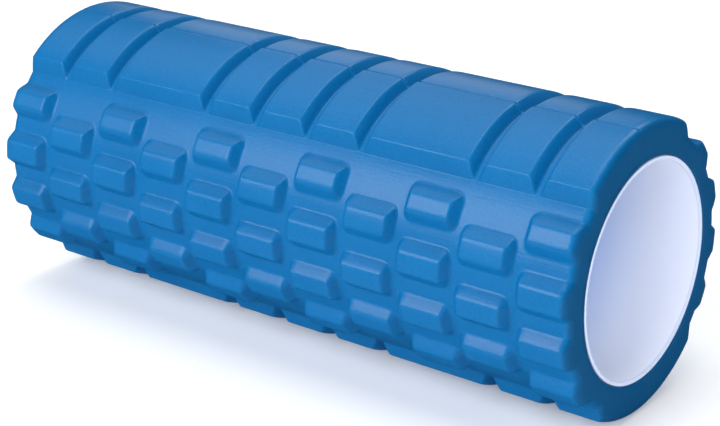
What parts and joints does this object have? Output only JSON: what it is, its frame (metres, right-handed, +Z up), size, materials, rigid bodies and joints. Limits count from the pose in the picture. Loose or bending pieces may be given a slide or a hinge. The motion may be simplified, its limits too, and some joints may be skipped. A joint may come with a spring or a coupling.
{
  "type": "foam roller",
  "caption": "Cylindrical massage roller: a foam sleeve with moulded ribs and staggered pads, bonded round a rigid plastic tube that is open at both ends.",
  "frame": {"origin": "on the surface that the roller lies on, under the middle of its length", "axes": "+X along the roller's axis, +Z up; the two seams of the sleeve lie just past the top and just past the bottom"},
  "size_m": [0.34, 0.1398, 0.14],
  "materials": {
    "tube_plastic": "satin",
    "sleeve_foam": "matte closed-cell foam with a smooth moulded skin"
  },
  "bodies": {
    "root": {"core_tube": "tube_plastic", "foam_sleeve_front": "sleeve_foam", "foam_sleeve_rear": "sleeve_foam"}
  },
  "joints": []
}
